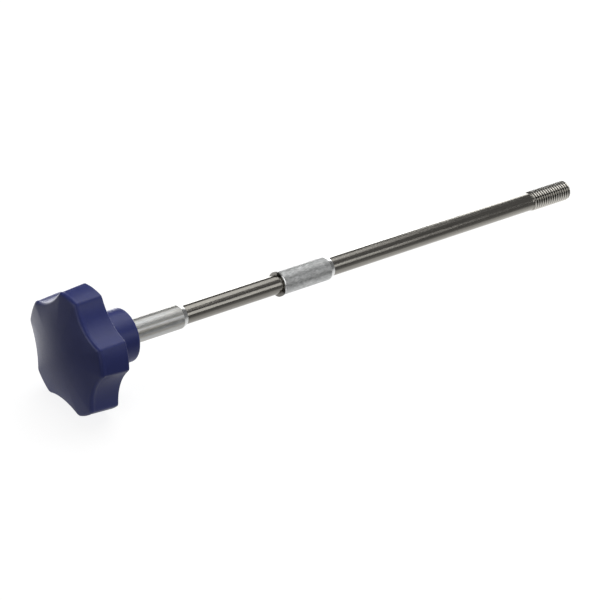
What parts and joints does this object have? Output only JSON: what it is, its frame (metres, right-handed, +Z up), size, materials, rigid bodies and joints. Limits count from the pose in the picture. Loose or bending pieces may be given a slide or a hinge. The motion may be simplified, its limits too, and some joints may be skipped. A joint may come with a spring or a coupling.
{
  "type": "star knob tie rod",
  "caption": "Long steel tie rod with a short machine thread on one end, a moulded lobed knob on the other, and aluminium guide sleeves and a retaining ring on the rod.",
  "frame": {"origin": "centre of the flat end face of the threaded tip, on the rod's axis", "axes": "+X along the rod's axis, out of the threaded tip, with the knob at -X; +Z up through one lobe of the knob, so that the part lies on two lobes; -Y towards the side that the picture shows"},
  "size_m": [0.2479, 0.0472, 0.0454],
  "materials": {
    "navy_plastic": "moulded, soft gloss",
    "brass_insert": "turned",
    "drawn_steel": "bright drawn",
    "turned_aluminium": "fine turned",
    "spring_steel": "dark phosphated",
    "tumbled_aluminium": "dull, slightly marked"
  },
  "bodies": {
    "knob_and_rod": {"star_knob": "navy_plastic", "knob_insert": "brass_insert", "tie_rod": "drawn_steel", "retaining_ring": "spring_steel"},
    "hub_sleeve": {"hub_sleeve": "turned_aluminium"},
    "guide_sleeve": {"guide_sleeve": "tumbled_aluminium"}
  },
  "joints": [
    {"name": "hub_sleeve_spin", "type": "hinge", "parent": "knob_and_rod", "child": "hub_sleeve", "pos_m": [-0.206, 0, 0], "axis": [1, 0, 0], "continuous": true},
    {"name": "guide_sleeve_spin", "type": "hinge", "parent": "knob_and_rod", "child": "guide_sleeve", "pos_m": [-0.137, 0, 0], "axis": [1, 0, 0], "continuous": true}
  ]
}
